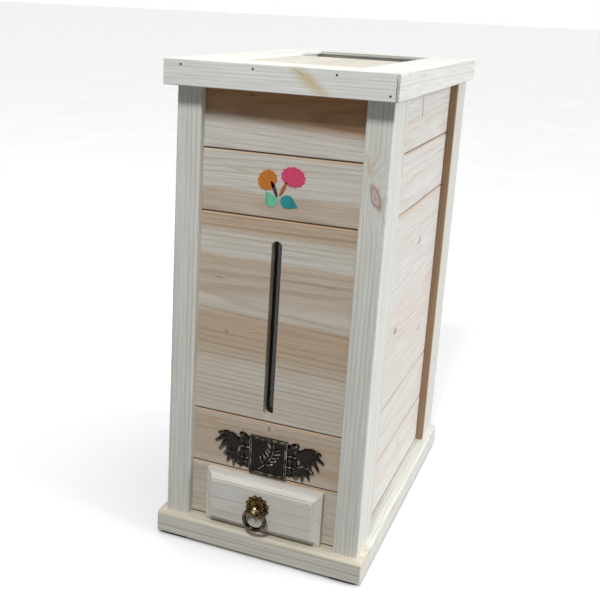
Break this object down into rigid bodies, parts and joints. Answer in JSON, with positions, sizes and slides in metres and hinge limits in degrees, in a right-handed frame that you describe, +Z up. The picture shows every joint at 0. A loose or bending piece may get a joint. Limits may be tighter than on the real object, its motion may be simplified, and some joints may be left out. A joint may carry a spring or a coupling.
{
  "type": "rice bin",
  "caption": "Tall softwood rice chest with a sliding filling hatch in its lid, a narrow sight slot in the boarded front and a moulded dispensing drawer with a ring pull at the foot.",
  "frame": {"origin": "on the floor, below the middle of the lid's outline, which is the largest outline of the part", "axes": "+Z up, the front with the drawer faces -Y, +X to the right of a person who faces the back (to the right in a front view)"},
  "size_m": [0.276, 0.4604, 0.616],
  "materials": {
    "pine": "planed, unfinished softwood",
    "cedar": "planed, unfinished cedar boards",
    "antique_bronze": "blackened cast metal with rubbed high spots",
    "acrylic": "clear sheet",
    "felt": "dark felt pad",
    "inlay": "dyed veneer",
    "nail_steel": "dull steel"
  },
  "bodies": {
    "chest": {"foot_pads": "felt", "base_board": "cedar", "plinth_front_rail": "pine", "plinth_rear_rail": "pine", "plinth_left_rail": "pine", "plinth_right_rail": "pine", "front_left_post": "pine", "front_right_post": "pine", "rear_left_post": "pine", "rear_right_post": "pine", "front_drawer_board": "cedar", "front_plaque_board": "cedar", "front_slot_board": "cedar", "front_inlay_board": "cedar", "front_top_board": "cedar", "left_wall_board_1": "cedar", "left_wall_board_2": "cedar", "left_wall_board_3": "cedar", "left_wall_board_4": "cedar", "left_wall_board_5": "cedar", "right_wall_board_1": "cedar", "right_wall_board_2": "cedar", "right_wall_board_3": "cedar", "right_wall_board_4": "cedar", "right_wall_board_5": "cedar", "rear_wall_board_1": "cedar", "rear_wall_board_2": "cedar", "rear_wall_board_3": "cedar", "rear_wall_board_4": "cedar", "rear_wall_board_5": "cedar", "window_pane": "acrylic", "window_battens": "cedar", "hopper_floor": "cedar", "hopper_cleats": "pine", "throat_board": "cedar", "bay_left_wall": "cedar", "bay_right_wall": "cedar", "drawer_runners": "pine", "lid_front_edge": "pine", "lid_rear_edge": "pine", "lid_left_edge": "pine", "lid_right_edge": "pine", "lid_front_rail": "pine", "lid_rear_rail": "pine", "lid_left_rail": "pine", "lid_right_rail": "pine", "fixed_leaf": "cedar", "plaque": "antique_bronze", "flower_inlay": "inlay", "nails": "nail_steel"},
    "drawer": {"drawer_front": "pine", "drawer_left_side": "cedar", "drawer_right_side": "cedar", "drawer_back": "cedar", "drawer_bottom": "cedar", "rosette": "antique_bronze", "ring_eye": "antique_bronze"},
    "pull_ring": {"pull_ring": "antique_bronze"},
    "hatch": {"sliding_leaf": "cedar"}
  },
  "joints": [
    {"name": "drawer_slide", "type": "slide", "parent": "chest", "child": "drawer", "axis": [0, -1, 0], "range_m": [0, 0.12]},
    {"name": "ring_swing", "type": "hinge", "parent": "drawer", "child": "pull_ring", "pos_m": [0, -0.2249, 0.0728], "axis": [1, 0, 0], "range_deg": [-150, 10]},
    {"name": "hatch_slide", "type": "slide", "parent": "chest", "child": "hatch", "axis": [0, 1, 0], "range_m": [0, 0.088]}
  ]
}
